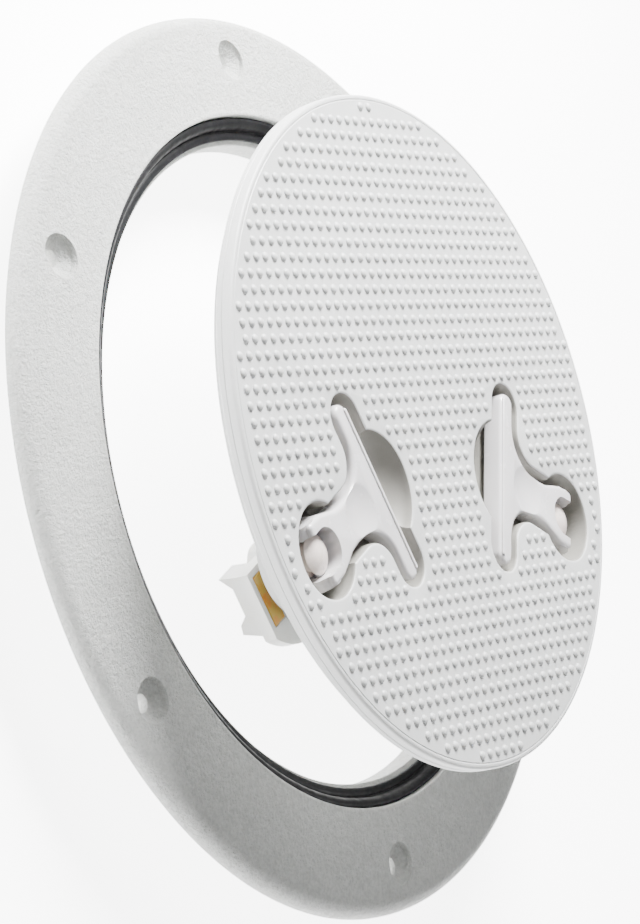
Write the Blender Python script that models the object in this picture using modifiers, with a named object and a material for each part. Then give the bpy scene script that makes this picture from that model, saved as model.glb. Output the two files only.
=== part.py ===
"""Round deck hatch: a screwed-down frame ring and a lift-out lid with two folding T-handle latches.

The frame stands on the lower edge of its collar, centred on the origin, with +Z out of the deck.
The lid is held above the frame, square to its axis, with both handles folded flush.
"""
import math

import bmesh
import bpy

MM = 0.001

# Frame ring, heights measured up from the lower edge of the collar
LIP_Z = 26.0 * MM
FLANGE_R = 139.0 * MM
FLANGE_DEPTH = 7.5 * MM
LIP_R = 106.9 * MM
SEAT_DROP = 5.6 * MM
OPENING_R = 98.8 * MM
INNER_WALL = 3.0 * MM
INNER_WALL_DROP = 13.6 * MM
COLLAR_R = 113.5 * MM
COLLAR_WALL = 3.0 * MM
RELIEF_IN_R = 117.0 * MM
RELIEF_OUT_R = 134.0 * MM
RELIEF_DEPTH = 3.6 * MM
SCREW_CIRCLE_R = 125.0 * MM
SCREW_COUNT = 6
SCREW_HOLE_R = 2.75 * MM
COUNTERSINK_R = 6.3 * MM
COUNTERSINK_DEPTH = 3.6 * MM
SCREW_BOSS_R = 8.7 * MM
FRAME_RIBS = 12

# Lid panel, heights measured down from its top face
LID_LIFT = 41.0 * MM
LID_TOP_Z = LIP_Z + LID_LIFT
LID_R = 102.0 * MM
RIM_DEPTH = 5.0 * MM
PLATE = 3.2 * MM
SPIGOT_R = 98.0 * MM
SPIGOT_WALL = 2.4 * MM
SPIGOT_DEPTH = 8.5 * MM
CUP_WALL = 2.2 * MM
LID_RIBS = 12

# Latches, on radii either side of the -Y direction
LATCH_R = 79.0 * MM
LATCH_SPREAD = math.radians(66.0)
RECESS_DEPTH = 8.5 * MM
POCKET_DEPTH = 11.0 * MM
POCKET_R = 13.7 * MM
POCKET_SHIFT = 0.9 * MM
STEM_SLOT_HALF = 9.3 * MM
DISH_R = 17.6 * MM
DISH_FLOOR_R = 2.0 * MM
DISH_SHIFT = 37.6 * MM
DISH_START = 38.0 * MM

# Handle
PIVOT_DROP = 5.5 * MM
HANDLE_TOP = 0.3 * MM
HANDLE_BOTTOM = -6.7 * MM
EYE_R = 5.0 * MM
FORK_HALF = 9.8 * MM
FORK_GAP_HALF = 6.3 * MM
PIN_R = 1.3 * MM
PIN_HOLE_R = 1.5 * MM
PIN_INNER = 4.8 * MM
PIN_OUTER = 9.4 * MM

# Spindle and the pieces on it
HEAD_R = 5.9 * MM
HEAD_TOP = -1.6 * MM
DOME_R = 9.6 * MM
HEAD_BOTTOM = -10.7 * MM
GROOVE_R = 4.4 * MM
GROOVE_HALF = 1.6 * MM
NECK_R = 4.2 * MM
NECK_HOLE_R = 4.6 * MM
SQUARE_HALF = 3.2 * MM
SPINDLE_END = -21.8 * MM
SCREW_BORE_R = 2.1 * MM
SHANK_R = 1.85 * MM
PAWL_TOP = -15.5 * MM
HUB_TOP = -14.35 * MM
HUB_R = 7.2 * MM
HUB_BOTTOM = -22.0 * MM
PAWL_REACH = 17.5 * MM
NOSE_R = 23.0 * MM
PAWL_SIDE = -5.5 * MM
PAD_LOW = (9.2, -3.6, -16.9)
PAD_HIGH = (15.6, 12.4, -15.3)
PAD_GAP = 0.25 * MM

ROUND = 80
SMALL_ROUND = 24


# ---------------------------------------------------------------- helpers

def clear_scene():
    for obj in list(bpy.data.objects):
        bpy.data.objects.remove(obj, do_unlink=True)
    for block in list(bpy.data.collections):
        bpy.data.collections.remove(block)


def collection(name):
    group = bpy.data.collections.new(name)
    bpy.context.scene.collection.children.link(group)
    return group


def material(name, colour, roughness, metallic=0.0):
    mat = bpy.data.materials.new(name)
    mat.use_nodes = True
    shader = mat.node_tree.nodes["Principled BSDF"]
    shader.inputs["Base Color"].default_value = (*colour, 1.0)
    shader.inputs["Roughness"].default_value = roughness
    shader.inputs["Metallic"].default_value = metallic
    mat.diffuse_color = (*colour, 1.0)
    return mat


def add_object(name, mesh, group, mat=None):
    obj = bpy.data.objects.new(name, mesh)
    group.objects.link(obj)
    if mat:
        mesh.materials.append(mat)
    return obj


def as_tool(obj):
    obj.hide_render = True
    obj.display_type = "WIRE"
    return obj


def boolean(target, tool, operation):
    modifier = target.modifiers.new(tool.name, "BOOLEAN")
    modifier.operation = operation
    modifier.solver = "EXACT"
    modifier.object = tool


def smooth(obj, angle=35.0):
    obj.data.shade_smooth()
    obj.data.set_sharp_from_angle(angle=math.radians(angle))


def arc(centre_x, centre_y, radius, start, end, steps):
    """Points on an arc, angles in degrees, both ends included."""
    points = []
    for i in range(steps + 1):
        angle = math.radians(start + (end - start) * i / steps)
        points.append((centre_x + radius * math.cos(angle), centre_y + radius * math.sin(angle)))
    return points


def turned(name, profile, group, mat=None, closed=False, steps=ROUND):
    """Revolve (radius, height) points about Z; the profile runs down its outer side."""
    mesh = bpy.data.meshes.new(name)
    vertices = [(radius, 0.0, height) for radius, height in profile]
    edges = [(i, i + 1) for i in range(len(profile) - 1)]
    if closed:
        edges.append((len(profile) - 1, 0))
    mesh.from_pydata(vertices, edges, [])
    obj = add_object(name, mesh, group, mat)
    screw = obj.modifiers.new("Turn", "SCREW")
    screw.axis = "Z"
    screw.steps = steps
    screw.render_steps = steps
    screw.use_merge_vertices = True
    screw.merge_threshold = 0.00001
    screw.use_smooth_shade = True
    return obj


def plate(name, outline, low, high, group, mat=None):
    """A flat outline in XY, made solid between two heights."""
    curve = bpy.data.curves.new(name, "CURVE")
    curve.dimensions = "2D"
    curve.fill_mode = "BOTH"
    curve.extrude = (high - low) / 2
    spline = curve.splines.new("POLY")
    spline.points.add(len(outline) - 1)
    for point, (x, y) in zip(spline.points, outline):
        point.co = (x, y, 0.0, 1.0)
    spline.use_cyclic_u = True
    source = bpy.data.objects.new(name + "_outline", curve)
    group.objects.link(source)
    bpy.context.view_layer.update()
    evaluated = source.evaluated_get(bpy.context.evaluated_depsgraph_get())
    mesh = bpy.data.meshes.new_from_object(evaluated)
    bpy.data.objects.remove(source)
    bm = bmesh.new()
    bm.from_mesh(mesh)
    bmesh.ops.remove_doubles(bm, verts=bm.verts, dist=0.00001)
    bmesh.ops.translate(bm, verts=bm.verts, vec=(0.0, 0.0, (high + low) / 2))
    bmesh.ops.recalc_face_normals(bm, faces=bm.faces)
    bm.to_mesh(mesh)
    bm.free()
    mesh.materials.clear()
    return add_object(name, mesh, group, mat)


def box(name, low, high, group, mat=None):
    bm = bmesh.new()
    bmesh.ops.create_cube(bm, size=1.0)
    size = [b - a for a, b in zip(low, high)]
    centre = [(a + b) / 2 for a, b in zip(low, high)]
    bmesh.ops.scale(bm, vec=size, verts=bm.verts)
    bmesh.ops.translate(bm, vec=centre, verts=bm.verts)
    mesh = bpy.data.meshes.new(name)
    bm.to_mesh(mesh)
    bm.free()
    return add_object(name, mesh, group, mat)


def bolt_along_y(name, radius, centre_z, start, end, group, mat=None):
    """A cylinder lying along Y between two Y values."""
    outline = arc(0.0, 0.0, radius, 0.0, 360.0 * (1 - 1 / SMALL_ROUND), SMALL_ROUND - 1)
    obj = plate(name, outline, start, end, group, mat)
    for vertex in obj.data.vertices:
        x, y, z = vertex.co
        vertex.co = (x, z, centre_z - y)
    return obj


def place(obj, azimuth, radius=0.0, height=0.0):
    obj.location = (radius * math.cos(azimuth), radius * math.sin(azimuth), height)
    obj.rotation_euler = (0.0, 0.0, azimuth)
    return obj


# ---------------------------------------------------------------- frame

def build_frame_ring(parts, tools, mat):
    """Flange, gasket seat, inner wall for the pawls and outer collar in one moulding."""
    deck_z = LIP_Z - FLANGE_DEPTH
    seat_z = LIP_Z - SEAT_DROP
    web_z = seat_z - 2.6 * MM
    wall_end = LIP_Z - INNER_WALL_DROP
    rounded = arc(FLANGE_R - 4.2 * MM, LIP_Z - 6.0 * MM, 4.2 * MM, 75.0, 0.0, 4)
    profile = [(LIP_R + 1.0 * MM, LIP_Z), (RELIEF_OUT_R - 4.0 * MM, LIP_Z - 1.2 * MM)]
    profile += rounded
    profile += [
        (FLANGE_R, deck_z),
        (RELIEF_OUT_R, deck_z),
        (RELIEF_OUT_R, deck_z + RELIEF_DEPTH),
        (RELIEF_IN_R, deck_z + RELIEF_DEPTH),
        (RELIEF_IN_R, deck_z),
        (COLLAR_R, deck_z),
        (COLLAR_R, 0.6 * MM),
        (COLLAR_R - 0.6 * MM, 0.0),
        (COLLAR_R - COLLAR_WALL, 0.0),
        (COLLAR_R - COLLAR_WALL, web_z),
        (OPENING_R + INNER_WALL, web_z),
        (OPENING_R + INNER_WALL, wall_end),
        (OPENING_R, wall_end),
        (OPENING_R, seat_z - 0.4 * MM),
        (OPENING_R + 0.4 * MM, seat_z),
        (LIP_R, seat_z),
        (LIP_R, LIP_Z - 0.7 * MM),
        (LIP_R + 0.3 * MM, LIP_Z - 0.2 * MM),
    ]
    ring = turned("frame_ring", profile, parts, mat, closed=True)
    rib_low = deck_z + 0.4 * MM
    rib_high = deck_z + RELIEF_DEPTH + 1.0 * MM
    for i in range(FRAME_RIBS):
        azimuth = math.radians(360.0 * (i + 0.5) / FRAME_RIBS)
        rib = box(
            f"frame_rib_{i}",
            (RELIEF_IN_R - 1.0 * MM, -0.9 * MM, rib_low),
            (RELIEF_OUT_R + 1.0 * MM, 0.9 * MM, rib_high),
            tools,
        )
        boolean(ring, as_tool(place(rib, azimuth)), "UNION")
    boss_outline = arc(0.0, 0.0, SCREW_BOSS_R, 0.0, 337.5, 15)
    for i in range(SCREW_COUNT):
        azimuth = math.radians(90.0 + 360.0 * i / SCREW_COUNT)
        boss = plate(f"screw_boss_{i}", boss_outline, deck_z + 0.2 * MM, rib_high, tools)
        boolean(ring, as_tool(place(boss, azimuth, SCREW_CIRCLE_R)), "UNION")
        hole = turned(
            f"screw_hole_{i}",
            [
                (0.0, LIP_Z + 1.0 * MM),
                (COUNTERSINK_R, LIP_Z + 1.0 * MM),
                (COUNTERSINK_R, LIP_Z - 1.6 * MM),
                (SCREW_HOLE_R, LIP_Z - 1.6 * MM - COUNTERSINK_DEPTH),
                (SCREW_HOLE_R, deck_z - 1.0 * MM),
                (0.0, deck_z - 1.0 * MM),
            ],
            tools,
            steps=24,
        )
        boolean(ring, as_tool(place(hole, azimuth, SCREW_CIRCLE_R)), "DIFFERENCE")
    smooth(ring)
    return ring


def build_frame_gasket(parts, mat):
    """Rubber seal: a flat land under the lid's rim and a bead up the flange's lip."""
    seat = LIP_Z - SEAT_DROP + 0.3 * MM
    outer = LIP_R - 0.3 * MM
    profile = [
        (outer - 0.5 * MM, LIP_Z - 1.1 * MM),
        (outer, LIP_Z - 1.7 * MM),
        (outer, seat),
        (100.4 * MM, seat),
        (100.2 * MM, seat + 0.6 * MM),
        (100.7 * MM, LIP_Z - 3.95 * MM),
        (102.3 * MM, LIP_Z - 3.85 * MM),
        (102.9 * MM, LIP_Z - 4.3 * MM),
        (103.4 * MM, LIP_Z - 3.5 * MM),
        (104.3 * MM, LIP_Z - 1.9 * MM),
        (105.3 * MM, LIP_Z - 1.1 * MM),
    ]
    return turned("frame_gasket", profile, parts, mat, closed=True)


# ---------------------------------------------------------------- lid

def mirrored_outline(half):
    """Close a half outline that starts and ends on or above the X axis."""
    return half + [(x, -y) for x, y in reversed(half) if abs(y) > 0.00001]


def recess_outline(grow):
    """T-shaped recess round a handle, the latch axis at the origin and the lid's rim at +X."""
    pocket = POCKET_R + grow
    slot = STEM_SLOT_HALF + grow
    meet = math.degrees(math.asin(slot / pocket))
    half = arc(-POCKET_SHIFT, 0.0, pocket, 0.0, 180.0 - meet, 14)
    half += arc(-20.5 * MM, 19.1 * MM, 9.8 * MM - grow, -90.0, -180.0, 8)
    half += arc(-37.55 * MM, 23.45 * MM, 7.25 * MM + grow, 0.0, 180.0, 14)
    return mirrored_outline(half)


def build_lid_panel(parts, tools, mat):
    top = LID_TOP_Z
    profile = [
        (0.0, top),
        (LID_R - 1.3 * MM, top),
        (LID_R - 0.4 * MM, top - 0.4 * MM),
        (LID_R, top - 1.3 * MM),
        (LID_R, top - RIM_DEPTH + 0.3 * MM),
        (LID_R - 0.3 * MM, top - RIM_DEPTH),
        (SPIGOT_R, top - RIM_DEPTH),
        (SPIGOT_R, top - SPIGOT_DEPTH),
        (SPIGOT_R - SPIGOT_WALL, top - SPIGOT_DEPTH),
        (SPIGOT_R - SPIGOT_WALL, top - PLATE),
        (0.0, top - PLATE),
    ]
    lid = turned("lid_panel", profile, parts, mat)
    inside = top - PLATE + 0.8 * MM
    for i in range(LID_RIBS):
        rib = box(
            f"lid_rib_{i}",
            (7.0 * MM, -0.9 * MM, top - SPIGOT_DEPTH + 1.0 * MM),
            (SPIGOT_R - 1.0 * MM, 0.9 * MM, inside),
            tools,
        )
        boolean(lid, as_tool(place(rib, math.radians(360.0 * (i + 0.5) / LID_RIBS))), "UNION")
    hub = plate("lid_hub", arc(0.0, 0.0, 9.0 * MM, 0.0, 345.0, 23), top - 7.8 * MM, inside, tools)
    boolean(lid, as_tool(hub), "UNION")
    for side, azimuth in latch_azimuths():
        add_recess(lid, side, azimuth, tools)
    smooth(lid)
    return lid


def bowl(name, radius, depth, top, start, tools):
    """Round finger dish with a flat middle and rounded sides, only where it is past the handle."""
    turn = [math.pi / 2 * i / 8 for i in range(9)]
    spread = radius - DISH_FLOOR_R
    wall = [(DISH_FLOOR_R + spread * math.cos(t), -depth * math.sin(t)) for t in turn]
    side = [point for point in wall if point[1] < top]
    profile = [(0.0, top), (radius, top)] + side + [(0.0, -depth)]
    dish = turned(name, profile, tools, steps=64)
    reach = 2 * radius
    keep = box(f"{name}_side", (-reach, -reach, -2 * depth), (DISH_SHIFT - start, reach, depth), tools)
    boolean(dish, as_tool(keep), "INTERSECT")
    keep.parent = dish
    return dish


def add_recess(lid, side, azimuth, tools):
    """One walled cup below the plate, then the hollow for handle, post and fingers."""
    inside = -PLATE + 0.8 * MM
    pocket_at = (-POCKET_SHIFT, 0.0)
    pocket_wall = arc(*pocket_at, POCKET_R + CUP_WALL, 0.0, 352.5, 47)
    pocket_hollow = arc(*pocket_at, POCKET_R, 0.0, 352.5, 47)
    neck = arc(0.0, 0.0, NECK_HOLE_R, 0.0, 345.0, SMALL_ROUND - 1)
    above = 2.0 * MM
    wall_bottom = RECESS_DEPTH + CUP_WALL
    floor_at = -POCKET_DEPTH
    at_post = LATCH_R
    at_dish = LATCH_R - DISH_SHIFT
    steps = [
        ("UNION", at_post, plate(f"cup_{side}", recess_outline(CUP_WALL), -wall_bottom, inside, tools)),
        ("UNION", at_post, plate(f"cup_pocket_{side}", pocket_wall, floor_at - CUP_WALL, inside, tools)),
        ("UNION", at_dish, bowl(f"cup_dish_{side}", DISH_R + CUP_WALL, wall_bottom - 0.3 * MM, inside,
                                DISH_START + CUP_WALL, tools)),
        ("DIFFERENCE", at_post, plate(f"recess_{side}", recess_outline(0.0), -RECESS_DEPTH, above, tools)),
        ("DIFFERENCE", at_post, plate(f"pocket_{side}", pocket_hollow, floor_at, above + 0.4 * MM, tools)),
        ("DIFFERENCE", at_dish, bowl(f"dish_{side}", DISH_R, RECESS_DEPTH - 0.2 * MM, above + 0.8 * MM,
                                     DISH_START, tools)),
        ("DIFFERENCE", at_post, plate(f"neck_hole_{side}", neck, floor_at - 2 * CUP_WALL,
                                      floor_at + 2.0 * MM, tools)),
    ]
    for operation, radius, tool in steps:
        boolean(lid, as_tool(place(tool, azimuth, radius, LID_TOP_Z)), operation)


# ---------------------------------------------------------------- latches

def latch_azimuths():
    """Each latch's side name and the direction of its radius."""
    down = math.radians(270.0)
    return (("left", down - LATCH_SPREAD), ("right", down + LATCH_SPREAD))


def handle_outline():
    half = [(3.0 * MM, 8.6 * MM), (1.8 * MM, FORK_HALF), (-4.0 * MM, FORK_HALF - 0.1 * MM)]
    half += [(-8.5 * MM, 8.3 * MM), (-12.5 * MM, 6.9 * MM), (-16.5 * MM, 6.5 * MM)]
    half += arc(-20.8 * MM, 18.9 * MM, 12.2 * MM, -90.0, -180.0, 8)
    half += arc(-36.4 * MM, 25.0 * MM, 3.4 * MM, 0.0, 180.0, 10)
    return mirrored_outline(half)


def build_handle(side, azimuth, parts, tools, mat):
    """T-handle: its fork straddles the spindle head and swings on two pivot pins."""
    low = HANDLE_BOTTOM + PIVOT_DROP
    high = HANDLE_TOP + PIVOT_DROP
    handle = plate(f"handle_{side}", handle_outline(), low, high, parts, mat)
    bevel = handle.modifiers.new("Soft edges", "BEVEL")
    bevel.width = 1.0 * MM
    bevel.segments = 2
    bevel.limit_method = "ANGLE"
    bevel.angle_limit = math.radians(50.0)
    eye = bolt_along_y(f"eye_{side}", EYE_R, 0.0, -FORK_HALF, FORK_HALF, tools)
    gap_outline = arc(-1.6 * MM, 0.0, FORK_GAP_HALF, 90.0, 270.0, 16)
    gap_outline += [(12.0 * MM, -FORK_GAP_HALF), (12.0 * MM, FORK_GAP_HALF)]
    gap = plate(f"fork_gap_{side}", gap_outline, -12.0 * MM, 12.0 * MM, tools)
    bore = bolt_along_y(f"pin_bore_{side}", PIN_HOLE_R, 0.0, -12.0 * MM, 12.0 * MM, tools)
    for operation, tool in (("UNION", eye), ("DIFFERENCE", gap), ("DIFFERENCE", bore)):
        boolean(handle, as_tool(place(tool, azimuth, LATCH_R, LID_TOP_Z - PIVOT_DROP)), operation)
    smooth(handle)
    return place(handle, azimuth, LATCH_R, LID_TOP_Z - PIVOT_DROP)


def build_pivot_pins(side, azimuth, parts, mat):
    for end, start, stop in (("a", PIN_INNER, PIN_OUTER), ("b", -PIN_OUTER, -PIN_INNER)):
        pin = bolt_along_y(f"pivot_pin_{side}_{end}", PIN_R, 0.0, start, stop, parts, mat)
        smooth(pin)
        place(pin, azimuth, LATCH_R, LID_TOP_Z - PIVOT_DROP)


def build_spindle(side, azimuth, parts, tools, mat):
    """Domed head with a pin groove, a sealed neck and a square end for the pawl."""
    profile = arc(0.0, HEAD_TOP - DOME_R, DOME_R, 90.0, 54.3, 6)
    profile[0] = (0.0, HEAD_TOP)
    profile += [
        (HEAD_R, profile[-1][1] - 0.25 * MM),
        (HEAD_R, -PIVOT_DROP + GROOVE_HALF),
        (GROOVE_R, -PIVOT_DROP + GROOVE_HALF),
        (GROOVE_R, -PIVOT_DROP - GROOVE_HALF),
        (HEAD_R, -PIVOT_DROP - GROOVE_HALF),
        (HEAD_R, HEAD_BOTTOM),
        (NECK_R, HEAD_BOTTOM),
        (NECK_R, -11.3 * MM),
        (2.7 * MM, -11.3 * MM),
        (2.7 * MM, -13.0 * MM),
        (NECK_R, -13.0 * MM),
        (NECK_R, -14.1 * MM),
        (0.0, -14.1 * MM),
    ]
    spindle = turned(f"spindle_{side}", profile, parts, mat, steps=SMALL_ROUND)
    half = SQUARE_HALF
    square = box(f"square_{side}", (-half, -half, SPINDLE_END), (half, half, -13.8 * MM), tools)
    bore_outline = arc(0.0, 0.0, SCREW_BORE_R, 0.0, 345.0, 23)
    bore = plate(f"screw_bore_{side}", bore_outline, SPINDLE_END - 1.0 * MM, -15.6 * MM, tools)
    for operation, tool in (("UNION", square), ("DIFFERENCE", bore)):
        boolean(spindle, as_tool(place(tool, azimuth, LATCH_R, LID_TOP_Z)), operation)
    smooth(spindle)
    return place(spindle, azimuth, LATCH_R, LID_TOP_Z)


def build_turned_fittings(side, azimuth, parts, rubber, steel, nylon):
    """Neck seal, thrust washer, pawl washer and pawl screw."""
    seal = arc(3.65 * MM, -12.15 * MM, 0.7 * MM, 0.0, -337.5, 15)
    pieces = [
        turned(f"spindle_seal_{side}", seal, parts, rubber, closed=True, steps=SMALL_ROUND),
        turned(f"thrust_washer_{side}", washer_profile(4.5, 8.6, -13.35, -14.05), parts, nylon,
               closed=True, steps=SMALL_ROUND),
        turned(f"pawl_washer_{side}", washer_profile(2.2, 5.6, -22.15, -23.0), parts, steel,
               closed=True, steps=SMALL_ROUND),
        turned(f"pawl_screw_{side}", screw_profile(), parts, steel, steps=SMALL_ROUND),
    ]
    for piece in pieces:
        place(piece, azimuth, LATCH_R, LID_TOP_Z)


def washer_profile(inner, outer, top, bottom):
    return [(inner * MM, top * MM), (outer * MM, top * MM), (outer * MM, bottom * MM), (inner * MM, bottom * MM)]


def screw_profile():
    """Pan-head screw, head down, its shank up the spindle's bore."""
    profile = [(0.0, -16.6 * MM), (SHANK_R - 0.4 * MM, -16.6 * MM), (SHANK_R, -17.2 * MM)]
    profile += [(SHANK_R, -23.15 * MM), (4.0 * MM, -23.15 * MM), (4.0 * MM, -24.2 * MM)]
    profile += [(3.4 * MM, -25.0 * MM), (1.4 * MM, -25.3 * MM), (1.2 * MM, -24.3 * MM), (0.0, -24.3 * MM)]
    return profile


def pawl_outline():
    """Pawl plate seen from above: a square shoulder towards the rim and a round locking nose."""
    shoulder = math.degrees(math.acos(PAWL_REACH / NOSE_R))
    points = [(0.0, PAWL_SIDE), (PAWL_REACH - 0.8 * MM, PAWL_SIDE), (PAWL_REACH, PAWL_SIDE + 0.8 * MM)]
    points += arc(0.0, 0.0, NOSE_R, shoulder, 76.0, 8)
    return points + [(1.0 * MM, 19.0 * MM), (-3.0 * MM, 6.0 * MM)]


def foot_section():
    """End view of the pawl's arm: a web with a tapered foot at each side."""
    points = [(-5.5, -15.6), (14.0, -15.6), (13.2, -19.5), (11.6, -25.3), (8.8, -24.7), (6.2, -22.0)]
    points += [(-2.3, -21.9), (-6.0, -24.9), (-5.5, -19.0)]
    return [(y * MM, z * MM) for y, z in points]


def build_pawl(side, azimuth, parts, tools, mat, pad_mat):
    pawl = plate(f"pawl_{side}", pawl_outline(), -19.4 * MM, PAWL_TOP, parts, mat)
    arm = plate(f"pawl_arm_{side}", foot_section(), 8.6 * MM, PAWL_REACH - 0.1 * MM, tools)
    for vertex in arm.data.vertices:
        x, y, z = vertex.co
        vertex.co = (z, x, y)
    hub = plate(f"pawl_hub_{side}", arc(0.0, 0.0, HUB_R, 0.0, 352.5, 47), HUB_BOTTOM, HUB_TOP, tools)
    half = SQUARE_HALF + 0.25 * MM
    socket = box(f"pawl_socket_{side}", (-half, -half, -24.0 * MM), (half, half, -12.0 * MM), tools)
    low = [value * MM for value in PAD_LOW]
    high = [value * MM for value in PAD_HIGH]
    pocket = box(f"pad_pocket_{side}", low, (high[0], high[1], high[2] + 1.0 * MM), tools)
    pad_low = [value + PAD_GAP for value in low]
    pad_high = (high[0] - PAD_GAP, high[1] - PAD_GAP, high[2])
    pad = box(f"pawl_pad_{side}", pad_low, pad_high, parts, pad_mat)
    steps = (("UNION", arm), ("UNION", hub), ("DIFFERENCE", socket), ("DIFFERENCE", pocket))
    for operation, tool in steps:
        boolean(pawl, as_tool(place(tool, azimuth, LATCH_R, LID_TOP_Z)), operation)
    smooth(pawl)
    place(pad, azimuth, LATCH_R, LID_TOP_Z)
    return place(pawl, azimuth, LATCH_R, LID_TOP_Z)


# ---------------------------------------------------------------- assembly

def main():
    clear_scene()
    parts = collection("deck_hatch")
    tools = collection("cutters")
    white = material("white_abs", (0.80, 0.80, 0.77), 0.45)
    glossy = material("handle_abs", (0.84, 0.83, 0.83), 0.25)
    spindle_mat = material("spindle_nylon", (0.76, 0.72, 0.70), 0.35)
    pawl_mat = material("pawl_nylon", (0.85, 0.86, 0.83), 0.4)
    amber = material("amber_pad", (0.62, 0.40, 0.08), 0.45)
    rubber = material("black_rubber", (0.015, 0.015, 0.017), 0.55)
    steel = material("stainless", (0.62, 0.62, 0.63), 0.3, 1.0)
    nylon = material("washer_nylon", (0.80, 0.79, 0.74), 0.5)

    build_frame_ring(parts, tools, white)
    build_frame_gasket(parts, rubber)
    build_lid_panel(parts, tools, white)
    for side, azimuth in latch_azimuths():
        build_handle(side, azimuth, parts, tools, glossy)
        build_pivot_pins(side, azimuth, parts, steel)
        build_spindle(side, azimuth, parts, tools, spindle_mat)
        build_turned_fittings(side, azimuth, parts, rubber, steel, nylon)
        build_pawl(side, azimuth, parts, tools, pawl_mat, amber)


main()
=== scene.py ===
import math

import bmesh
import bpy
from mathutils import Matrix, Vector


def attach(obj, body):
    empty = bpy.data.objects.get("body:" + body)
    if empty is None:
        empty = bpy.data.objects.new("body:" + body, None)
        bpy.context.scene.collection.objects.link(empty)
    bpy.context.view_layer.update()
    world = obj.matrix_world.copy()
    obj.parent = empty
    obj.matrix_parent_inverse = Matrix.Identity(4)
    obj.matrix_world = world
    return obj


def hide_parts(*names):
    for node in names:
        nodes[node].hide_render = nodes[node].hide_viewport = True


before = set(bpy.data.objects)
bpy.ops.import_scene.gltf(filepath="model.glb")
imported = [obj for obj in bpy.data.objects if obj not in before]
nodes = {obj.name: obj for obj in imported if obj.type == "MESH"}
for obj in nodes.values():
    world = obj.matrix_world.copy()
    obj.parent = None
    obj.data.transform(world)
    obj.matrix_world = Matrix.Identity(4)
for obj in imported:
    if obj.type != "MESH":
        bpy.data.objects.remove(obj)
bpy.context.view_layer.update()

MM = 0.001
LIP_Z = 26.0
TOP_Z = 67.0
LATCHES = (("left", math.radians(204.0)), ("right", math.radians(336.0)))
LATCH_R = 79.0
PIVOT_DROP = 5.5
RECESS_DEPTH = 8.5
POCKET_DEPTH = 11.0
POCKET_R = 13.7
POCKET_X = -0.9
DISH_R = 17.6
DISH_X = -37.6
BORE_R = 1.5
HOLES = 6
RIBS = 12
HOLE_R = 125
BUMP_PITCH = 4.65
BUMP_TOP = 0.86
BUMPS_END = 98.3
FLOOR_GLOW = 6.0
CAMERA_DISTANCE = 0.950
CAMERA_LENS = 81.4805


# ---------------------------------------------------------------- mesh helpers, sizes in mm

def mesh_object(name, points, faces):
    mesh = bpy.data.meshes.new(name)
    mesh.from_pydata([(x * MM, y * MM, z * MM) for x, y, z in points], [], faces)
    bm = bmesh.new()
    bm.from_mesh(mesh)
    bmesh.ops.recalc_face_normals(bm, faces=bm.faces)
    bm.to_mesh(mesh)
    bm.free()
    obj = bpy.data.objects.new(name, mesh)
    bpy.context.scene.collection.objects.link(obj)
    return obj


def arc(cx, cy, radius, start, end, steps):
    out = []
    for i in range(steps + 1):
        a = math.radians(start + (end - start) * i / steps)
        out.append((cx + radius * math.cos(a), cy + radius * math.sin(a)))
    return out


def revolve(name, profile, steps, closed=True):
    """Turn (radius, z) points about Z; points on the axis become one vertex."""
    points, rows, faces = [], [], []
    for radius, z in profile:
        if radius < 1e-6:
            rows.append([len(points)] * steps)
            points.append((0.0, 0.0, z))
        else:
            rows.append(list(range(len(points), len(points) + steps)))
            for k in range(steps):
                a = 2 * math.pi * k / steps
                points.append((radius * math.cos(a), radius * math.sin(a), z))
    count = len(profile)
    for i in range(count if closed else count - 1):
        upper, lower = rows[i], rows[(i + 1) % count]
        if len(set(upper)) == 1 and len(set(lower)) == 1:
            continue
        for k in range(steps):
            n = (k + 1) % steps
            ring = [upper[k], upper[n], lower[n], lower[k]]
            face = list(dict.fromkeys(ring))
            if len(face) > 2:
                faces.append(face)
    return mesh_object(name, points, faces)


def loft(name, sections):
    """Skin a stack of (outline, z) sections with the same number of points, and cap both ends."""
    points, faces = [], []
    size = len(sections[0][0])
    for outline, z in sections:
        points += [(x, y, z) for x, y in outline]
    for s in range(len(sections) - 1):
        a, b = s * size, (s + 1) * size
        for k in range(size):
            n = (k + 1) % size
            faces.append([a + k, a + n, b + n, b + k])
    faces.append(list(range(size)))
    faces.append(list(range((len(sections) - 1) * size, len(sections) * size)))
    return mesh_object(name, points, faces)


def block(name, low, high):
    xs, ys, zs = zip(low, high)
    points = [(x, y, z) for x in xs for y in ys for z in zs]
    faces = [(0, 1, 3, 2), (4, 6, 7, 5), (0, 4, 5, 1), (2, 3, 7, 6), (0, 2, 6, 4), (1, 5, 7, 3)]
    return mesh_object(name, points, faces)


def cylinder_y(name, radius, z, start, end, steps=40):
    ring = arc(0, 0, radius, 0, 360 * (1 - 1 / steps), steps - 1)
    obj = loft(name, [(ring, start), (ring, end)])
    obj.data.transform(Matrix(((1, 0, 0, 0), (0, 0, 1, 0), (0, -1, 0, z * MM), (0, 0, 0, 1))))
    return obj


def put(obj, azimuth, radius=0.0, z=0.0):
    spot = Vector((radius * math.cos(azimuth), radius * math.sin(azimuth), z)) * MM
    obj.data.transform(Matrix.Translation(spot) @ Matrix.Rotation(azimuth, 4, "Z"))
    return obj


def carve(target, steps):
    """Apply a list of (operation, tool) exactly, then drop the tools."""
    for operation, tool in steps:
        modifier = target.modifiers.new("carve", "BOOLEAN")
        modifier.operation = operation
        modifier.solver = "EXACT"
        modifier.object = tool
    bpy.context.view_layer.update()
    evaluated = target.evaluated_get(bpy.context.evaluated_depsgraph_get())
    mesh = bpy.data.meshes.new_from_object(evaluated)
    target.modifiers.clear()
    target.data = mesh
    for _, tool in steps:
        bpy.data.objects.remove(tool)


def smooth(obj, angle=40.0):
    obj.data.shade_smooth()
    obj.data.set_sharp_from_angle(angle=math.radians(angle))


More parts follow.
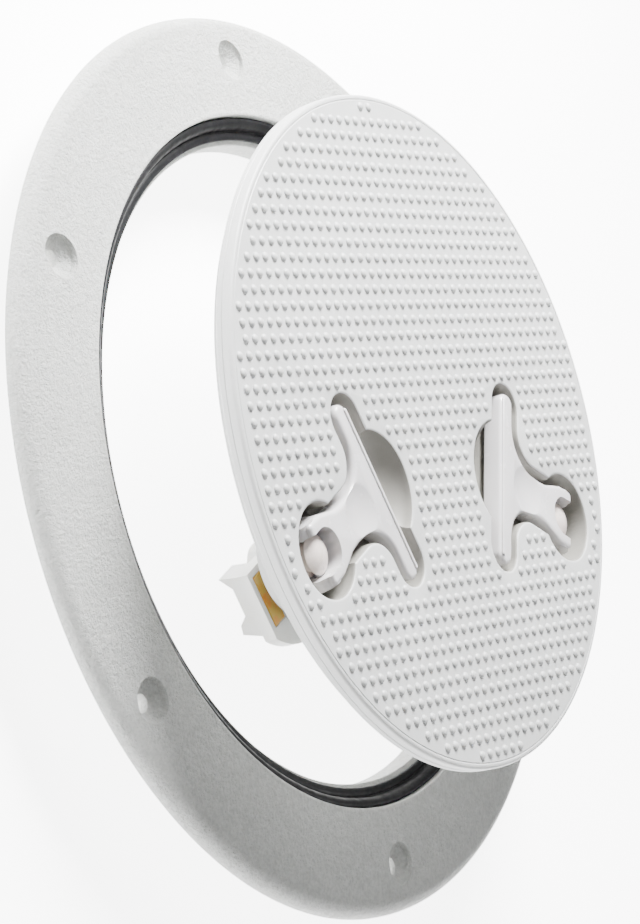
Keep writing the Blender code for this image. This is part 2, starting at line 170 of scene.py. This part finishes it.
def finish_piece(obj, mat, body, node=None, angle=40.0):
    obj.data.materials.clear()
    obj.data.materials.append(mat)
    smooth(obj, angle)
    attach(obj, body)
    if node:
        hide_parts(node)
    return obj


# ---------------------------------------------------------------- materials

class Shader:
    """A Principled material with small node helpers, all in object space."""

    def __init__(self, name, colour, roughness, metallic=0.0, coat=0.0, subsurface=0.0):
        self.mat = bpy.data.materials.new(name)
        self.mat.use_nodes = True
        self.tree = self.mat.node_tree
        self.bsdf = self.tree.nodes["Principled BSDF"]
        self.colour = colour
        self.bsdf.inputs["Base Color"].default_value = (*colour, 1.0)
        self.bsdf.inputs["Roughness"].default_value = roughness
        self.bsdf.inputs["Metallic"].default_value = metallic
        self.bsdf.inputs["Coat Weight"].default_value = coat
        self.bsdf.inputs["Coat Roughness"].default_value = 0.12
        self.bsdf.inputs["Subsurface Weight"].default_value = subsurface
        self.bsdf.inputs["Subsurface Radius"].default_value = (1.0, 0.8, 0.6)
        self.bsdf.inputs["Subsurface Scale"].default_value = 0.002
        self.coords = self.node("ShaderNodeTexCoord").outputs["Object"]
        self.last_bump = None

    def node(self, kind, **props):
        made = self.tree.nodes.new(kind)
        for key, value in props.items():
            setattr(made, key, value)
        return made

    def noise(self, scale, detail=4.0, rough=0.55, distortion=0.0):
        made = self.node("ShaderNodeTexNoise")
        made.inputs["Scale"].default_value = scale
        made.inputs["Detail"].default_value = detail
        made.inputs["Roughness"].default_value = rough
        made.inputs["Distortion"].default_value = distortion
        self.tree.links.new(self.coords, made.inputs["Vector"])
        return made.outputs["Fac"]

    def cells(self, scale, feature="F1"):
        made = self.node("ShaderNodeTexVoronoi", feature=feature)
        made.inputs["Scale"].default_value = scale
        self.tree.links.new(self.coords, made.inputs["Vector"])
        return made.outputs["Distance"]

    def spread(self, value, low, high, out_low=0.0, out_high=1.0):
        made = self.node("ShaderNodeMapRange")
        made.inputs["From Min"].default_value = low
        made.inputs["From Max"].default_value = high
        made.inputs["To Min"].default_value = out_low
        made.inputs["To Max"].default_value = out_high
        self.tree.links.new(value, made.inputs["Value"])
        return made.outputs["Result"]

    def tint(self, value, other):
        """Blend the base colour towards another by a 0 to 1 value."""
        made = self.node("ShaderNodeMix", data_type="RGBA")
        source = self.bsdf.inputs["Base Color"]
        if source.links:
            self.tree.links.new(source.links[0].from_socket, made.inputs["A"])
        else:
            made.inputs["A"].default_value = (*self.colour, 1.0)
        made.inputs["B"].default_value = (*other, 1.0)
        self.tree.links.new(value, made.inputs["Factor"])
        self.tree.links.new(made.outputs["Result"], source)

    def roughen(self, value, low, high):
        self.tree.links.new(self.spread(value, 0.3, 0.7, low, high), self.bsdf.inputs["Roughness"])

    def bump(self, height, distance_mm, strength=1.0):
        made = self.node("ShaderNodeBump")
        made.inputs["Strength"].default_value = strength
        made.inputs["Distance"].default_value = distance_mm * MM
        self.tree.links.new(height, made.inputs["Height"])
        if self.last_bump:
            self.tree.links.new(self.last_bump, made.inputs["Normal"])
        self.last_bump = made.outputs["Normal"]
        self.tree.links.new(self.last_bump, self.bsdf.inputs["Normal"])


def frame_plastic():
    s = Shader("frame_abs", (0.53, 0.535, 0.515), 0.55, subsurface=0.05)
    s.tint(s.spread(s.noise(18.0, 3.0), 0.35, 0.65), (0.48, 0.485, 0.465))
    s.tint(s.spread(s.noise(420.0, 4.0, 0.7), 0.42, 0.68, 0.0, 0.6), (0.38, 0.385, 0.37))
    s.tint(s.spread(s.noise(950.0, 3.0), 0.45, 0.7, 0.0, 0.6), (0.34, 0.345, 0.33))
    s.roughen(s.noise(300.0, 5.0), 0.42, 0.66)
    s.bump(s.noise(460.0, 6.0, 0.75), 1.0, 1.0)
    s.bump(s.noise(950.0, 3.0, 0.6), 0.55, 1.0)
    s.bump(s.cells(1500.0), 0.08, 0.6)
    return s.mat


def lid_plastic():
    s = Shader("lid_abs", (0.50, 0.505, 0.50), 0.42, subsurface=0.05)
    s.tint(s.spread(s.noise(14.0, 3.0), 0.35, 0.65), (0.46, 0.465, 0.46))
    s.tint(s.spread(s.noise(700.0, 2.0), 0.5, 0.8, 0.0, 0.25), (0.40, 0.405, 0.40))
    s.roughen(s.noise(260.0, 4.0), 0.34, 0.52)
    s.bump(s.noise(1300.0, 4.0, 0.6), 0.035, 0.6)
    return s.mat


def recess_painted_shade_plastic():
    # Painted shade: the recess and finger-dish surfaces get a much darker grey than the lid, standing in for
    # the shadow that falls inside them.
    s = Shader("lid_recess_painted_shade", (0.235, 0.228, 0.205), 0.5)
    s.tint(s.spread(s.noise(30.0, 3.0), 0.35, 0.65), (0.21, 0.203, 0.182))
    s.tint(s.spread(s.noise(700.0, 2.0), 0.5, 0.8, 0.0, 0.25), (0.18, 0.174, 0.155))
    s.roughen(s.noise(260.0, 4.0), 0.42, 0.6)
    s.bump(s.noise(1300.0, 4.0, 0.6), 0.03, 0.6)
    return s.mat


def handle_plastic():
    s = Shader("handle_gloss", (0.58, 0.565, 0.57), 0.22, coat=0.35, subsurface=0.08)
    s.tint(s.spread(s.noise(40.0, 3.0), 0.35, 0.7), (0.54, 0.525, 0.53))
    s.roughen(s.noise(180.0, 4.0), 0.16, 0.30)
    s.bump(s.noise(160.0, 3.0), 0.03, 0.4)
    return s.mat


def post_plastic():
    s = Shader("post_nylon", (0.66, 0.585, 0.54), 0.30, coat=0.2, subsurface=0.1)
    s.tint(s.spread(s.noise(120.0, 3.0), 0.3, 0.7), (0.61, 0.54, 0.50))
    s.roughen(s.noise(240.0, 4.0), 0.22, 0.4)
    s.bump(s.noise(500.0, 3.0), 0.02, 0.5)
    return s.mat


def pawl_plastic():
    s = Shader("pawl_nylon", (0.74, 0.745, 0.72), 0.36, subsurface=0.12)
    s.tint(s.spread(s.noise(150.0, 3.0), 0.35, 0.7), (0.69, 0.69, 0.65))
    s.roughen(s.noise(260.0, 4.0), 0.28, 0.46)
    s.bump(s.noise(600.0, 4.0), 0.03, 0.5)
    return s.mat


def amber_plastic():
    s = Shader("amber_pad", (0.56, 0.36, 0.055), 0.4, subsurface=0.1)
    s.tint(s.spread(s.noise(260.0, 3.0), 0.42, 0.62), (0.66, 0.27, 0.03))
    s.tint(s.spread(s.noise(120.0, 2.0), 0.5, 0.75, 0.0, 0.6), (0.62, 0.50, 0.20))
    s.roughen(s.noise(400.0, 4.0), 0.32, 0.55)
    s.bump(s.noise(700.0, 4.0), 0.05, 0.6)
    return s.mat


def seal_rubber():
    s = Shader("seal_rubber", (0.0045, 0.0045, 0.005), 0.42)
    s.bsdf.inputs["Specular IOR Level"].default_value = 0.14
    s.tint(s.spread(s.noise(90.0, 4.0), 0.4, 0.7), (0.008, 0.008, 0.009))
    s.roughen(s.noise(350.0, 5.0), 0.36, 0.56)
    s.bump(s.noise(900.0, 4.0), 0.03, 0.5)
    return s.mat


def steel():
    s = Shader("stainless", (0.60, 0.60, 0.61), 0.28, metallic=1.0)
    s.tint(s.spread(s.noise(400.0, 4.0), 0.35, 0.7), (0.50, 0.50, 0.52))
    s.roughen(s.noise(600.0, 5.0, 0.6, 0.4), 0.2, 0.42)
    s.bump(s.noise(1500.0, 4.0), 0.012, 0.5)
    return s.mat


def washer_plastic():
    s = Shader("washer_nylon", (0.72, 0.71, 0.65), 0.5, subsurface=0.1)
    s.tint(s.spread(s.noise(200.0, 3.0), 0.35, 0.7), (0.66, 0.64, 0.58))
    s.roughen(s.noise(300.0, 4.0), 0.4, 0.6)
    s.bump(s.noise(800.0, 4.0), 0.03, 0.5)
    return s.mat


MATS = {
    "frame": frame_plastic(), "lid": lid_plastic(), "handle": handle_plastic(), "post": post_plastic(),
    "pawl": pawl_plastic(), "amber": amber_plastic(), "rubber": seal_rubber(), "steel": steel(),
    "washer": washer_plastic(), "hollow": recess_painted_shade_plastic(),
}


# ---------------------------------------------------------------- frame

def build_frame():
    deck = LIP_Z - 7.5
    seat = LIP_Z - 5.6
    profile = [(106.9, seat), (106.9, LIP_Z - 0.5), (107.05, LIP_Z - 0.12), (107.4, LIP_Z + 0.05)]
    profile += [(108.0, LIP_Z + 0.05), (108.5, LIP_Z - 0.15), (109.0, LIP_Z - 0.22)]
    profile += [(114.0, LIP_Z - 0.35), (120.0, LIP_Z - 0.65), (126.0, LIP_Z - 1.1), (130.5, LIP_Z - 1.6)]
    profile += arc(134.4, LIP_Z - 6.4, 4.6, 78, 0, 10)
    profile += [(139.0, deck + 0.4), (138.6, deck), (134.0, deck), (134.0, deck + 3.6), (117.0, deck + 3.6)]
    profile += [(117.0, deck), (113.5, deck), (113.5, 0.6), (112.9, 0.0), (110.5, 0.0), (110.5, seat - 2.6)]
    profile += [(101.8, seat - 2.6), (101.8, LIP_Z - 13.2), (101.4, LIP_Z - 13.6), (99.2, LIP_Z - 13.6)]
    profile += [(98.8, LIP_Z - 13.2), (98.8, seat - 0.5), (98.95, seat - 0.15), (99.3, seat)]
    ring = revolve("frame_shell", profile, 240)
    steps = []
    hole_azimuths = [math.radians(30 + 60 * i) for i in range(HOLES)]
    hole = [(0, LIP_Z + 1), (6.9, LIP_Z + 1), (6.75, LIP_Z - 0.75), (6.35, LIP_Z - 1.25)]
    hole += [(6.2, LIP_Z - 1.9), (6.1, LIP_Z - 2.3), (2.75, LIP_Z - 5.0), (2.75, deck - 1), (0, deck - 1)]
    for i in range(RIBS):
        rib = block("rib", (116.0, -0.9, deck + 0.4), (135.0, 0.9, deck + 4.6))
        steps.append(("UNION", put(rib, math.radians(15 + 30 * i))))
    for azimuth in hole_azimuths:
        disc = arc(0, 0, 8.7, 0, 345, 23)
        boss = loft("boss", [(disc, deck + 0.2), (disc, deck + 4.6)])
        steps.append(("UNION", put(boss, azimuth, HOLE_R)))
    for azimuth in hole_azimuths:
        steps.append(("DIFFERENCE", put(revolve("hole", hole, 40, closed=False), azimuth, HOLE_R)))
    carve(ring, steps)
    finish_piece(ring, MATS["frame"], "frame", "frame_ring", 32)


def build_gasket():
    seat = LIP_Z - 5.3
    profile = [(106.6, LIP_Z - 1.9), (106.6, seat), (100.4, seat), (100.15, seat + 0.5), (100.3, LIP_Z - 4.2)]
    profile += [(100.7, LIP_Z - 3.95), (102.0, LIP_Z - 3.88), (102.5, LIP_Z - 4.05), (102.85, LIP_Z - 4.25)]
    profile += [(103.15, LIP_Z - 4.1), (103.3, LIP_Z - 3.5), (103.7, LIP_Z - 2.5), (104.4, LIP_Z - 1.6)]
    profile += [(105.2, LIP_Z - 1.2), (105.9, LIP_Z - 1.25), (106.35, LIP_Z - 1.5)]
    gasket = revolve("gasket_ring", profile, 240)
    finish_piece(gasket, MATS["rubber"], "frame", "frame_gasket", 50)


# ---------------------------------------------------------------- lid

def mirrored(half):
    return half + [(x, -y) for x, y in reversed(half) if abs(y) > 1e-6]


def recess_outline(grow):
    """T-shaped recess, latch axis at the origin, the lid's rim towards +X."""
    pocket = POCKET_R + grow
    slot = 9.3 + grow
    meet = math.degrees(math.asin(slot / pocket))
    half = arc(POCKET_X, 0, pocket, 0, 180 - meet, 28)
    half += arc(-20.5, 19.1, 9.8 - grow, -90, -180, 16)
    half += arc(-37.55, 23.45, 7.25 + grow, 0, 180, 28)
    return mirrored(half)


def rounded_cutter(name, outline, depth, edge, root, above=3.0):
    """A hollow whose rim is rounded over by edge and whose floor corner is filleted by root."""
    sections = [(outline(-root), -depth)]
    for i in range(1, 5):
        t = math.pi / 2 * i / 4
        sections.append((outline(-root * (1 - math.sin(t))), -depth + root * (1 - math.cos(t))))
    for i in range(0, 5):
        t = math.pi / 2 * i / 4
        sections.append((outline(edge * (1 - math.cos(t))), -edge * (1 - math.sin(t))))
    sections.append((outline(edge), above))
    return loft(name, sections)


def disc_outline(x, radius):
    return lambda grow: arc(x, 0, radius + grow, 0, 355, 71)


def inside(point, outline):
    x, y = point
    hit = False
    for (x1, y1), (x2, y2) in zip(outline, outline[1:] + outline[:1]):
        if (y1 > y) != (y2 > y) and x < (x2 - x1) * (y - y1) / (y2 - y1) + x1:
            hit = not hit
    return hit


def over_hollow(x, y, outline, dish_r, dish_end):
    """Whether a point of the lid lies in a recess outline or in a finger dish of the given radius."""
    for _, azimuth in LATCHES:
        lx = x * math.cos(azimuth) + y * math.sin(azimuth) - LATCH_R
        ly = -x * math.sin(azimuth) + y * math.cos(azimuth)
        in_dish = math.hypot(lx - DISH_X, ly) < dish_r and lx < dish_end
        if in_dish or inside((lx, ly), outline):
            return True
    return False


def bowl(name, radius, depth, edge, above, start):
    """Round dish with its rim rounded by edge, kept only on the lid's side of start."""
    floor_r = 2.0
    spread = radius - floor_r
    profile = [(0, above), (radius + edge, above)]
    for i in range(4 if edge else 0):
        t = math.pi / 2 * i / 4
        profile.append((radius + edge * (1 - math.sin(t)), -edge * (1 - math.cos(t))))
    for i in range(17):
        t = math.pi / 2 * i / 16
        if -math.sin(t) * depth < min(-edge, above) - 0.05:
            profile.append((floor_r + spread * math.cos(t), -depth * math.sin(t)))
    profile.append((0, -depth))
    made = revolve(name, profile, 96, closed=False)
    keep = block("keep", (-60, -60, -2 * depth), (-DISH_X - start, 60, above + 1))
    carve(made, [("INTERSECT", keep)])
    return made


def build_lid():
    profile = [(0, 0), (100.0, 0), (100.2, -0.16), (100.4, -0.16), (100.6, -0.02), (100.9, -0.02)]
    profile += arc(100.9, -1.12, 1.1, 75, 0, 6) + [(102, -2.6), (101.85, -2.75), (101.85, -2.95), (102, -3.1)]
    profile += [(102, -4.6), (101.6, -5), (98, -5), (98, -8.3), (97.8, -8.5), (95.8, -8.5), (95.6, -8.3)]
    profile += [(95.6, -3.2), (0, -3.2)]
    lid = revolve("lid_plate", [(r, TOP_Z + z) for r, z in profile], 288, closed=False)
    steps = []
    for i in range(RIBS):
        rib = block("rib", (7.0, -0.9, TOP_Z - 7.5), (97.0, 0.9, TOP_Z - 2.7))
        steps.append(("UNION", put(rib, math.radians(15 + 30 * i))))
    disc = arc(0, 0, 9, 0, 350, 35)
    steps.append(("UNION", loft("hub", [(disc, TOP_Z - 7.8), (disc, TOP_Z - 2.9)])))
    for _, azimuth in LATCHES:
        cup = loft("cup", [(recess_outline(2.2), -10.7), (recess_outline(2.2), -2.5)])
        ring = arc(POCKET_X, 0, 15.9, 0, 355, 71)
        pocket_cup = loft("cup2", [(ring, -13.2), (ring, -2.3)])
        dish_cup = bowl("cup3", 19.8, 10.4, 0.0, -2.1, 40.2)
        steps.append(("UNION", put(cup, azimuth, LATCH_R, TOP_Z)))
        steps.append(("UNION", put(pocket_cup, azimuth, LATCH_R, TOP_Z)))
        steps.append(("UNION", put(dish_cup, azimuth, LATCH_R + DISH_X, TOP_Z)))
    for _, azimuth in LATCHES:
        recess = rounded_cutter("recess", recess_outline, RECESS_DEPTH, 1.0, 1.5)
        pocket = rounded_cutter("pocket", disc_outline(POCKET_X, POCKET_R), POCKET_DEPTH, 1.0, 1.2, 3.3)
        dish = bowl("dish", DISH_R, 8.4, 0.8, 3.6, 38.0)
        neck = arc(0, 0, 4.6, 0, 350, 35)
        steps.append(("DIFFERENCE", put(recess, azimuth, LATCH_R, TOP_Z)))
        steps.append(("DIFFERENCE", put(pocket, azimuth, LATCH_R, TOP_Z)))
        steps.append(("DIFFERENCE", put(dish, azimuth, LATCH_R + DISH_X, TOP_Z)))
        steps.append(("DIFFERENCE", put(loft("neck", [(neck, -15), (neck, -9)]), azimuth, LATCH_R, TOP_Z)))
    carve(lid, steps)
    finish_piece(lid, MATS["lid"], "lid", "lid_panel", 32)
    # Painted shade: faces inside the recesses and finger dishes take the darker second material, standing in
    # for their shadow.
    lid.data.materials.append(MATS["hollow"])
    outline = recess_outline(1.3)
    lowest = TOP_Z - POCKET_DEPTH - 0.2
    for face in lid.data.polygons:
        x, y, z = face.center / MM
        if lowest <= z <= TOP_Z - 0.25 and over_hollow(x, y, outline, DISH_R + 1.0, math.inf):
            face.material_index = 1


def build_bumps():
    """Rows of small domes over the lid's top, clear of its rim and its recesses."""
    outline = recess_outline(2.3)
    shape = ((1.42, -0.05), (1.37, 0.18), (1.22, 0.41), (0.98, 0.61), (0.66, 0.76), (0.32, 0.84))
    sides = 16
    points, faces = [], []
    for i in range(-22, 22):
        for j in range(-22, 23):
            x, y = (i + 0.5) * BUMP_PITCH, j * BUMP_PITCH + 0.45
            if math.hypot(x, y) > BUMPS_END or over_hollow(x, y, outline, 20.0, -36):
                continue
            first = len(points)
            for radius, z in shape:
                for k in range(sides):
                    a = 2 * math.pi * k / sides
                    points.append((x + radius * math.cos(a), y + radius * math.sin(a), TOP_Z + z))
            points.append((x, y, TOP_Z + BUMP_TOP))
            for r in range(len(shape) - 1):
                for k in range(sides):
                    n = (k + 1) % sides
                    a, b = first + r * sides, first + (r + 1) * sides
                    faces.append((a + k, a + n, b + n, b + k))
            top = first + (len(shape) - 1) * sides
            for k in range(sides):
                faces.append((top + k, top + (k + 1) % sides, top + sides))
            faces.append(tuple(range(first + sides - 1, first - 1, -1)))
    finish_piece(mesh_object("lid_bumps", points, faces), MATS["lid"], "lid", None, 75)


# ---------------------------------------------------------------- latches

def handle_outline(grow):
    half = arc(1.4, 8.2, 1.6 + grow, 0, 90, 4) + [(-4.0, 9.7 + grow), (-8.5, 8.3 + grow)]
    half += [(-12.5, 6.9 + grow), (-16.5, 6.5 + grow)]
    half += arc(-20.8, 18.9, 12.2 - grow, -90, -180, 16)
    half += arc(-36.4, 25.0, 3.4 + grow, 0, 180, 20)
    return mirrored(half)


def build_handle(side, azimuth):
    sections = []
    for i in range(5):
        t = math.pi / 2 * i / 4
        sections.append((handle_outline(-0.9 * (1 - math.sin(t))), -6.7 + 0.9 * (1 - math.cos(t))))
    for i in range(6):
        t = math.pi / 2 * i / 5
        sections.append((handle_outline(-1.5 * (1 - math.cos(t))), 0.1 - 1.5 * (1 - math.sin(t))))
    handle = loft(f"handle_body_{side}", sections)
    eye = cylinder_y("eye", 5.0, -PIVOT_DROP, -9.75, 9.75)
    gap = arc(-1.6, 0, 6.3, 90, 270, 24) + [(14, -6.3), (14, 6.3)]
    gap = loft("gap", [(gap, -14), (gap, 6)])
    bore = cylinder_y("bore", BORE_R, -PIVOT_DROP, -14, 14)
    scoop_r = 25
    turns = [math.radians(24 - 2 * i) for i in range(12)]
    scoop = [(scoop_r * math.sin(a), 23.7 - scoop_r * math.cos(a)) for a in turns]
    hollow = revolve("hollow", [(0, 3.0), (10.17, 3.0)] + scoop + [(0, -1.3)], 64, False)
    hollow.data.transform(Matrix.Translation(Vector((-24.5, 0, 0)) * MM))
    bar = arc_bar(-39.2, -37.9, 25.6, 0.0)
    rib = loft("rib", [(bar, -1.5), (bar, 0.25), (arc_bar(-39.2, -37.9, 25.6, -0.25), 0.5)])
    steps = [("UNION", eye), ("UNION", rib)]
    steps += [("DIFFERENCE", gap), ("DIFFERENCE", bore), ("DIFFERENCE", hollow)]
    carve(handle, steps)
    put(handle, azimuth, LATCH_R, TOP_Z)
    finish_piece(handle, MATS["handle"], f"handle_{side}", f"handle_{side}", 38)


def arc_bar(x1, x2, reach, grow):
    """A thin round-ended bar along Y between two X values."""
    middle, half = (x1 + x2) / 2, (x2 - x1) / 2 + grow
    return arc(middle, reach, half, 0, 180, 8) + arc(middle, -reach, half, 180, 360, 8)


def softened(node, mat, body, width):
    """A copy of a CAD node with its flat faces joined and its edges rounded."""
    source = nodes[node]
    mesh = source.data.copy()
    obj = bpy.data.objects.new(node + "_soft", mesh)
    bpy.context.scene.collection.objects.link(obj)
    obj.matrix_world = source.matrix_world.copy()
    bm = bmesh.new()
    bm.from_mesh(mesh)
    bmesh.ops.remove_doubles(bm, verts=bm.verts, dist=0.000005)
    bmesh.ops.dissolve_limit(bm, angle_limit=math.radians(4), verts=bm.verts, edges=bm.edges)
    bm.to_mesh(mesh)
    bm.free()
    bevel = obj.modifiers.new("edges", "BEVEL")
    bevel.width = width * MM
    bevel.segments = 2
    bevel.limit_method = "ANGLE"
    bevel.angle_limit = math.radians(40)
    bevel.harden_normals = False
    finish_piece(obj, mat, body, node, 50)


def paint(node, mat):
    nodes[node].data.materials.clear()
    nodes[node].data.materials.append(mat)


def build_latches():
    for side, azimuth in LATCHES:
        build_handle(side, azimuth)
        softened(f"pawl_{side}", MATS["pawl"], f"latch_{side}", 0.35)
        softened(f"pawl_pad_{side}", MATS["amber"], f"latch_{side}", 0.2)
        paint(f"spindle_{side}", MATS["post"])
        paint(f"spindle_seal_{side}", MATS["rubber"])
        paint(f"thrust_washer_{side}", MATS["washer"])
        for piece in ("pawl_washer_", "pawl_screw_"):
            paint(piece + side, MATS["steel"])
        for end in "ab":
            paint(f"pivot_pin_{side}_{end}", MATS["steel"])


# ---------------------------------------------------------------- studio

def build_floor():
    floor = block("floor", (-6000, -6000, -13), (6000, 6000, -1))
    s = Shader("studio_floor", (0.90, 0.90, 0.90), 0.8)
    s.bsdf.inputs["Emission Color"].default_value = (1, 1, 1, 1)
    s.bsdf.inputs["Emission Strength"].default_value = FLOOR_GLOW
    floor.data.materials.append(s.mat)


def area_light(name, spot, target, size, power, colour=(1, 1, 1)):
    data = bpy.data.lights.new(name, "AREA")
    data.shape = "DISK"
    data.size = size
    data.energy = power
    data.color = colour
    light = bpy.data.objects.new(name, data)
    bpy.context.scene.collection.objects.link(light)
    light.location = spot
    away = Vector(spot) - Vector(target)
    light.rotation_euler = away.to_track_quat("Z", "Y").to_euler()


def build_lights():
    world = bpy.data.worlds.new("studio")
    world.use_nodes = True
    world.node_tree.nodes["Background"].inputs["Color"].default_value = (0.95, 0.97, 1.0, 1.0)
    world.node_tree.nodes["Background"].inputs["Strength"].default_value = 0.26
    bpy.context.scene.world = world
    area_light("key", (0.06, 0.50, 0.39), (0.0, 0.02, 0.04), 0.32, 33.0)
    area_light("low", (0.55, -0.50, 0.45), (0.0, -0.1, 0.03), 0.5, 3.0)
    area_light("fill", (-0.8, 0.2, 0.7), (0.0, 0.0, 0.03), 0.7, 4.0)


def build_camera():
    """A long lens looking at the frame's lip from one side, rolled about its own axis."""
    tilt, roll, swing = math.radians(58.44), math.radians(14.42), math.radians(4.8)
    across, down = -0.000575, -0.001454
    n = Vector((0, 0, 1))
    e1 = Vector((math.cos(swing), math.sin(swing), 0))
    e2 = Vector((-math.sin(swing), math.cos(swing), 0))
    back = math.cos(tilt) * n - math.sin(tilt) * e1
    rise = (n - math.cos(tilt) * back) / math.sin(tilt)
    right = math.cos(roll) * rise - math.sin(roll) * e2
    up = math.sin(roll) * rise + math.cos(roll) * e2
    data = bpy.data.cameras.new("camera")
    data.sensor_fit = "VERTICAL"
    data.sensor_height = 24.0
    data.lens = CAMERA_LENS
    camera = bpy.data.objects.new("camera", data)
    bpy.context.scene.collection.objects.link(camera)
    place = Vector((0, 0, LIP_Z * MM)) - across * right + down * up + CAMERA_DISTANCE * back
    camera.matrix_world = Matrix.Translation(place) @ Matrix((right, up, back)).transposed().to_4x4()
    bpy.context.scene.camera = camera


build_frame()
build_gasket()
build_lid()
build_bumps()
build_latches()
build_floor()
build_lights()
build_camera()
